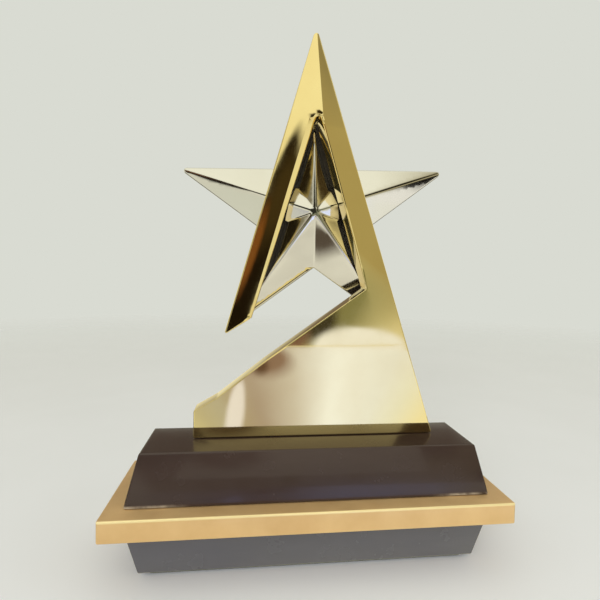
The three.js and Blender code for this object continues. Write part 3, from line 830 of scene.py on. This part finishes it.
# What stands in the room, as (azimuth, elevation), half sizes, lean, softness and colour.
# Azimuth is from the trophy's front towards its right, in degrees, and a later patch covers an earlier one.
ROOM_PATCHES = [
    ((180, 30), (70, 22), 0.0, 0.30, (0.20, 0.16, 0.12)),       # wooden cupboard behind
    ((-180, 30), (70, 22), 0.0, 0.30, (0.20, 0.16, 0.12)),
    ((36, 20), (24, 30), 0.0, 0.25, (0.42, 0.37, 0.21)),        # dim wall, right
    ((46, 46), (17, 14), 0.0, 0.30, (0.30, 0.27, 0.17)),        # and its top, in shadow
    ((3, 5), (18, 17), 0.0, 0.15, (0.24, 0.25, 0.15)),          # the person in front, in olive
    ((-4, 13), (17, 14), 0.0, 0.14, (0.03, 0.03, 0.02)),        # their camera and dark sleeves
    ((22.5, 22), (6.5, 15), 0.0, 0.15, (0.03, 0.025, 0.015)),   # standing lamp
    ((44, 1), (10, 10), 0.0, 0.2, (0.02, 0.015, 0.01)),         # dark bag, low on the right
    ((36, -16), (8, 4.5), 0.0, 0.3, (0.97, 0.96, 0.88)),        # pale paper under it
    ((35.5, -4), (4.5, 6), 0.0, 0.15, (0.012, 0.010, 0.008)),   # the bag's strap
    ((38.3, -8.6), (3.8, 5.1), 0.0, 0.08, (0.012, 0.010, 0.008)),
    ((-46, 6), (11, 12), 0.0, 0.25, (0.05, 0.036, 0.020)),      # brown chair, left
    ((-38, 21), (8, 13), 0.0, 0.30, (0.25, 0.22, 0.13)),        # its back
    ((-27.6, 6), (5.6, 20), 0.31, 0.06, (0.012, 0.008, 0.005)),         # dark coat, left
    ((-25.5, 17), (5, 6), 0.31, 0.5, (0.05, 0.036, 0.015)),             # its lighter shoulder
    ((-30.4, 10.5), (2.2, 5.5), 0.31, 0.4, (0.20, 0.08, 0.025)),        # brown sleeve on it
    ((8.2, -5.8), (3.2, 2.6), 0.0, 0.2, (0.055, 0.050, 0.035)),         # dark cuff
    ((5.5, -8.0), (2.2, 2.6), 0.0, 0.3, (0.20, 0.12, 0.11)),    # wrist
    ((14.5, -9.4), (6.3, 2.7), 0.0, 0.1, (0.93, 1.03, 1.52)),   # pale sheet at the table's edge
]


def set_world():
    """A pale room with soft-edged patches in it, for the polished metal. The camera sees plain pale grey."""
    world = bpy.data.worlds.new("room")
    bpy.context.scene.world = world
    world.use_nodes = True
    tree = world.node_tree
    tree.nodes.clear()
    place = tree.nodes.new("ShaderNodeTexCoord").outputs["Generated"]
    split = tree.nodes.new("ShaderNodeSeparateXYZ")
    tree.links.new(place, split.inputs[0])
    ramp = tree.nodes.new("ShaderNodeValToRGB")
    tree.links.new(spread(tree, split.outputs["Z"], 0, 1, -1, 1), ramp.inputs["Fac"])
    ramp.color_ramp.elements[0].color = (0.45, 0.44, 0.35, 1)
    ramp.color_ramp.elements[1].color = (0.80, 0.80, 0.66, 1)
    ramp.color_ramp.elements.new(0.5).color = (0.88, 0.87, 0.71, 1)
    ramp.color_ramp.elements.new(0.87).color = (1.02, 1.01, 0.82, 1)
    colour = ramp.outputs["Color"]
    to_degrees = 180 / math.pi
    forward = math_node(tree, "MULTIPLY", split.outputs["Y"], -1.0)
    azimuth = math_node(tree, "ARCTAN2", split.outputs["X"], forward)
    azimuth = math_node(tree, "MULTIPLY", azimuth, to_degrees)
    elevation = math_node(tree, "ARCSINE", split.outputs["Z"])
    elevation = math_node(tree, "MULTIPLY", elevation, to_degrees)
    for (az, el), (half_az, half_el), lean, soft, tint in ROOM_PATCHES:
        leaning = math_node(tree, "SUBTRACT", azimuth, math_node(tree, "MULTIPLY", elevation, lean))
        joined = tree.nodes.new("ShaderNodeCombineXYZ")
        tree.links.new(leaning, joined.inputs["X"])
        tree.links.new(elevation, joined.inputs["Y"])
        middle = vector_node(tree, "SUBTRACT", joined.outputs[0], (az, el, 0))
        scaled = vector_node(tree, "DIVIDE", middle, (half_az, half_el, 1))
        away = vector_node(tree, "LENGTH", scaled, output="Value")
        cover = spread(tree, away, 1, 0, 1 - soft, 1 + soft)
        colour = mix_colour(tree, cover, colour, tint)
    room = tree.nodes.new("ShaderNodeBackground")
    tree.links.new(colour, room.inputs["Color"])
    seen = tree.nodes.new("ShaderNodeBackground")
    seen.inputs["Color"].default_value = (*BACKGROUND, 1)
    path = tree.nodes.new("ShaderNodeLightPath")
    choose = tree.nodes.new("ShaderNodeMixShader")
    tree.links.new(path.outputs["Is Camera Ray"], choose.inputs[0])
    tree.links.new(room.outputs[0], choose.inputs[1])
    tree.links.new(seen.outputs[0], choose.inputs[2])
    out = tree.nodes.new("ShaderNodeOutputWorld")
    tree.links.new(choose.outputs[0], out.inputs["Surface"])


def area_light(name, location, target, size, power):
    """A square soft lamp, which no gloss reflects."""
    data = bpy.data.lights.new(name, "AREA")
    data.size = size
    data.energy = power
    lamp = bpy.data.objects.new(name, data)
    lamp.location = location
    lamp.rotation_mode = "QUATERNION"
    lamp.rotation_quaternion = (Vector(target) - Vector(location)).to_track_quat("-Z", "Y")
    lamp.visible_glossy = False
    bpy.context.scene.collection.objects.link(lamp)


def disc(name, radius, z, sides=96):
    """A flat disc of the stage, in millimetres."""
    angles = [2 * math.pi * k / sides for k in range(sides)]
    points = [(radius * math.cos(a), radius * math.sin(a), z) for a in angles]
    made = mesh_object(name, points, [tuple(range(sides))])
    return made


FLOOR_RADIUS, FLOOR_Z = 1500, -0.05
FLOOR_TINTS = ((0.825, 0.845, 0.925), (0.845, 0.865, 0.95))
TABLE_RADIUS, TABLE_Z = 660, -0.6


def set_stage():
    """A round pale floor whose rim fades into the room, and the smaller table top that the metal sees."""
    floor = disc("floor", FLOOR_RADIUS, FLOOR_Z)
    material, tree, shader, place = new_material("pale_floor")
    tint = mix_colour(tree, spread(tree, noise(tree, place, 9, 4), 0, 1), *FLOOR_TINTS)
    tree.links.new(tint, shader.inputs["Base Color"])
    shader.inputs["Roughness"].default_value = 0.8
    shader.inputs["Specular IOR Level"].default_value = 0.2
    distance = vector_node(tree, "LENGTH", place, output="Value")
    tree.links.new(spread(tree, distance, 1, 0, 0.35, 1.4), shader.inputs["Alpha"])
    floor.data.materials.append(material)
    floor.visible_glossy = False

    table = disc("table_in_reflections", TABLE_RADIUS, TABLE_Z)
    table.data.materials.append(table_material())
    table.visible_camera = False
    table.visible_diffuse = False
    table.visible_shadow = False


# Light on the table by azimuth round the trophy, in degrees from its front to its right
TABLE_LIGHT = [
    (-180, (0.06, 0.045, 0.035)),
    (-84, (0.06, 0.045, 0.035)),
    (-70, (0.70, 0.70, 0.58)),
    (-28, (0.75, 0.76, 0.62)),
    (-20, (0.56, 0.56, 0.55)),
    (-14.9, (0.52, 0.53, 0.60)),
    (-11.4, (0.48, 0.45, 0.47)),
    (-5, (0.46, 0.42, 0.52)),
    (4, (0.66, 0.68, 0.93)),
    (13, (0.99, 1.14, 1.78)),
    (24, (0.90, 1.03, 1.56)),
    (30, (0.885, 0.98, 1.26)),
    (37, (0.95, 0.95, 0.84)),
    (70, (0.80, 0.79, 0.68)),
    (84, (0.06, 0.045, 0.035)),
    (180, (0.06, 0.045, 0.035)),
]
NEAR_TABLE = ((0.60, 0.57, 0.42), (0.80, 0.76, 0.52))
NEAR_RADIUS = 0.165
# Things on the table: middle, half sizes, softness and colour
TABLE_PATCHES = [
    ((-0.0485, -0.25, 0), (0.0095, 0.125, 1), 0.25, (0.88, 0.94, 1.50)),     # strip of light
    ((-0.005, -0.54, 0), (0.043, 0.14, 1), 0.3, (0.28, 0.20, 0.21)),     # a hand
    ((-0.017, -0.48, 0), (0.013, 0.07, 1), 0.4, (0.12, 0.07, 0.055)),    # shadow beside it
]


def glowing_material(name):
    """A material for things of the stage that glow: the material, its tree and object coordinates."""
    material = bpy.data.materials.new(name)
    material.use_nodes = True
    tree = material.node_tree
    tree.nodes.clear()
    place = tree.nodes.new("ShaderNodeTexCoord").outputs["Object"]
    return material, tree, place


def finish_glow(tree, colour):
    """Makes the colour the light that the surface gives off."""
    glow = tree.nodes.new("ShaderNodeEmission")
    tree.links.new(colour, glow.inputs["Color"])
    out = tree.nodes.new("ShaderNodeOutputMaterial")
    tree.links.new(glow.outputs[0], out.inputs["Surface"])


def radial_cover(tree, place, centre, size, soft):
    """1 inside an ellipsoid, falling to 0 outside it. A half size of 1 m leaves that direction free."""
    offset = vector_node(tree, "SUBTRACT", place, centre)
    away = vector_node(tree, "LENGTH", vector_node(tree, "DIVIDE", offset, size), output="Value")
    return spread(tree, away, 1, 0, 1 - soft, 1 + soft)


def table_material():
    """A lit table top: warm near the trophy, and cool and brighter further off, in front and to the right."""
    material, tree, place = glowing_material("lit_table")
    split = tree.nodes.new("ShaderNodeSeparateXYZ")
    tree.links.new(place, split.inputs[0])
    forward = math_node(tree, "MULTIPLY", split.outputs["Y"], -1.0)
    azimuth = math_node(tree, "ARCTAN2", split.outputs["X"], forward)
    ramp = tree.nodes.new("ShaderNodeValToRGB")
    tree.links.new(spread(tree, azimuth, 0, 1, -math.pi, math.pi), ramp.inputs["Fac"])
    stops = ramp.color_ramp.elements
    stops[0].color = (*TABLE_LIGHT[0][1], 1)
    stops[1].color = (*TABLE_LIGHT[-1][1], 1)
    for degrees, tint in TABLE_LIGHT[1:-1]:
        stops.new((degrees + 180) / 360).color = (*tint, 1)
    near = mix_colour(tree, spread(tree, noise(tree, place, 14, 2), 0, 1, 0.35, 0.6), *NEAR_TABLE)
    is_near = radial_cover(tree, place, (0, 0, 0), (NEAR_RADIUS, NEAR_RADIUS, 1), 0.08)
    colour = mix_colour(tree, is_near, ramp.outputs["Color"], near)
    for centre, size, soft, tint in TABLE_PATCHES:
        colour = mix_colour(tree, radial_cover(tree, place, centre, size, soft), colour, tint)
    finish_glow(tree, colour)
    return material


def bounce_card_material():
    """A cream card that glows as if lit, with a dim brown patch in its glow: painted light, with a painted
    dark reflection for the star's lower arms.
    """
    material, tree, place = glowing_material("lit_card")
    mottle = spread(tree, noise(tree, place, 16, 3), 0, 1)
    cream = mix_colour(tree, mottle, (0.72, 0.69, 0.56), (0.90, 0.87, 0.70))
    # Painted reflection: a dim brown patch in the card's glow, which the star's lower arms show as a dark
    # shape.
    dark_reflection_patch = radial_cover(tree, place, (-0.052, -0.160, 0.085), (0.029, 0.066, 1), 0.4)
    finish_glow(tree, mix_colour(tree, dark_reflection_patch, cream, (0.10, 0.075, 0.05)))
    return material


CARD_SLOPE = 0.1667
CARD_OUTLINE = [(-46, -3), (-120, -330), (185, -330), (46, -3)]


def set_bounce_card():
    """A card in front of the trophy that only reflections see. From the camera's place, the star's lower
    arms reflect it and the panel doesn't: its plane passes through the camera's mirror image in the panel,
    so the panel sees it edge on. From other places other faces reflect it.
    """
    def height(y):
        return EYE.z / MM - CARD_SLOPE * (-EYE.y / MM - y)

    card = mesh_object("card_in_reflections", [(x, y, height(y)) for x, y in CARD_OUTLINE], [(0, 1, 2, 3)])
    card.data.materials.append(bounce_card_material())
    card.visible_camera = False
    card.visible_diffuse = False
    card.visible_shadow = False


set_camera()
set_world()
set_stage()
set_bounce_card()
bpy.context.scene.view_settings.view_transform = "Standard"
area_light("key", (-0.35, -0.95, 0.45), (0, 0, 0.10), 0.6, 5.0)
area_light("fill", (0.8, -0.5, 0.5), (0, 0, 0.12), 0.7, 1.2)

finish_piece(build_figure(), gold, "gold", "figure_shell")
finish_piece(build_star(), nickel, "nickel", "star_shell")
build_base()
build_screws()

# The CAD nodes that stay as they are: two plates, and steel fasteners inside the base
PLATES = {
    "figure_back_plate": dark_paint,
    "star_back_plate": nickel,
}
for node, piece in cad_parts.items():
    if not piece.hide_render:
        piece.data.materials.clear()
        piece.data.materials.append(PLATES.get(node, steel))
